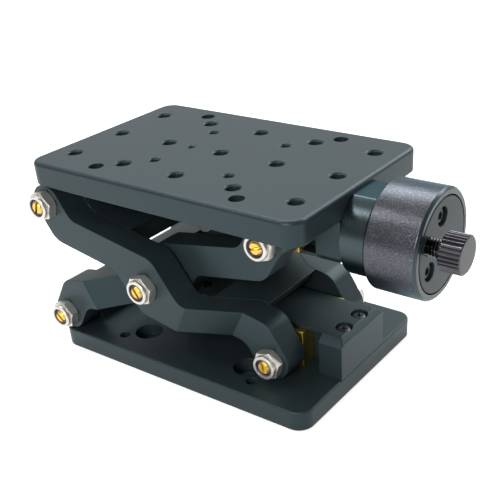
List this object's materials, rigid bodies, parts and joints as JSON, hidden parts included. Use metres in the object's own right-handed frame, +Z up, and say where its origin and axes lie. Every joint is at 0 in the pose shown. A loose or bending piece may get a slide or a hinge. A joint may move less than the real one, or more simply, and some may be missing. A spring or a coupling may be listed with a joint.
{
  "type": "manual lifting stage",
  "caption": "Low platform raised and lowered by a crossed pair of arm frames, with a hand knob at one end and tapped holes in its top plate.",
  "frame": {"origin": "centre of the base plate's underside", "axes": "+Z up out of the top plate, +X along the plates towards the knob"},
  "size_m": [0.1642, 0.0878, 0.0814],
  "materials": {
    "black_anodised": "satin black anodised, fine matt grain",
    "blasted_anodised": "bead blasted and black anodised",
    "nickel_steel": "bright nickel plate",
    "nylon": "dark blue nylon",
    "brass": "machined brass",
    "bronze": "sintered bronze",
    "black_steel": "black oxide",
    "bright_steel": "ground steel"
  },
  "bodies": {
    "base": {"base_plate": "black_anodised", "lower_guide": "black_anodised", "lower_guide_screws": "black_steel", "lower_hinge_block": "black_anodised", "lower_hinge_screws": "black_steel", "lower_left_studs": "brass", "lower_left_nuts": "nickel_steel", "lower_left_nut_inserts": "nylon", "lower_left_washers": "bronze"},
    "inner_arms": {"inner_arm_front": "black_anodised", "inner_arm_rear": "black_anodised", "inner_bridge_left": "black_anodised", "inner_bridge_right": "black_anodised", "inner_arm_bushes": "bronze", "centre_studs": "brass", "centre_nuts": "nickel_steel", "centre_nut_inserts": "nylon", "centre_washers": "bronze"},
    "outer_arms": {"outer_arm_front": "black_anodised", "outer_arm_rear": "black_anodised", "outer_bridge_left": "black_anodised", "outer_bridge_right": "black_anodised", "outer_arm_bushes": "bronze"},
    "lower_slider": {"lower_slider_front": "brass", "lower_slider_rear": "brass", "lower_right_studs": "brass", "lower_right_nuts": "nickel_steel", "lower_right_nut_inserts": "nylon", "lower_right_washers": "bronze"},
    "upper_slider": {"upper_slider_front": "brass", "upper_slider_rear": "brass", "lead_nut": "brass", "upper_right_studs": "brass", "upper_right_nuts": "nickel_steel", "upper_right_nut_inserts": "nylon", "upper_right_washers": "bronze"},
    "platform": {"top_plate": "black_anodised", "upper_guide": "black_anodised", "upper_guide_screws": "black_steel", "upper_hinge_block": "black_anodised", "upper_hinge_screws": "black_steel", "upper_left_studs": "brass", "upper_left_nuts": "nickel_steel", "upper_left_nut_inserts": "nylon", "upper_left_washers": "bronze", "bearing_housing": "black_anodised", "housing_screws": "black_steel", "screw_bearings": "bright_steel"},
    "knob": {"lead_screw": "bright_steel", "knob_body": "blasted_anodised", "knob_disc": "black_anodised", "disc_screws": "black_steel", "screw_end_nut": "black_steel"},
    "lock": {"lock_screw": "black_steel"}
  },
  "joints": [
    {"name": "lift", "type": "hinge", "parent": "base", "child": "inner_arms", "pos_m": [-0.055, 0, 0.0155], "axis": [0, -1, 0], "range_deg": [-10.12, 31.03]},
    {"name": "arm_cross", "type": "hinge", "parent": "inner_arms", "child": "outer_arms", "pos_m": [-0.00871, 0, 0.039], "axis": [0, -1, 0], "range_deg": [-62.11, 20.29]},
    {"name": "platform_hinge", "type": "hinge", "parent": "outer_arms", "child": "platform", "pos_m": [-0.055, 0, 0.0625], "axis": [0, -1, 0], "range_deg": [-10.17, 31.08]},
    {"name": "lower_slider_hinge", "type": "hinge", "parent": "outer_arms", "child": "lower_slider", "pos_m": [0.03758, 0, 0.0155], "axis": [0, -1, 0], "range_deg": [-10.17, 31.08]},
    {"name": "upper_slider_hinge", "type": "hinge", "parent": "inner_arms", "child": "upper_slider", "pos_m": [0.03758, 0, 0.0625], "axis": [0, -1, 0], "range_deg": [-31.08, 10.17]},
    {"name": "knob_turn", "type": "hinge", "parent": "platform", "child": "knob", "pos_m": [0.0701, 0, 0.0625], "axis": [1, 0, 0], "range_deg": [-1960.99, 6012.53]},
    {"name": "lock_turn", "type": "hinge", "parent": "knob", "child": "lock", "pos_m": [0.09, -0.00968, 0.06602], "axis": [1, 0, 0], "range_deg": [-270, 720]}
  ],
  "couplings": [
    {"joint": "arm_cross", "follows": "lift", "ratio": -2},
    {"joint": "platform_hinge", "follows": "lift", "ratio": 1},
    {"joint": "lower_slider_hinge", "follows": "lift", "ratio": 1},
    {"joint": "upper_slider_hinge", "follows": "lift", "ratio": -1},
    {"joint": "knob_turn", "follows": "lift", "ratio": 193.76}
  ]
}
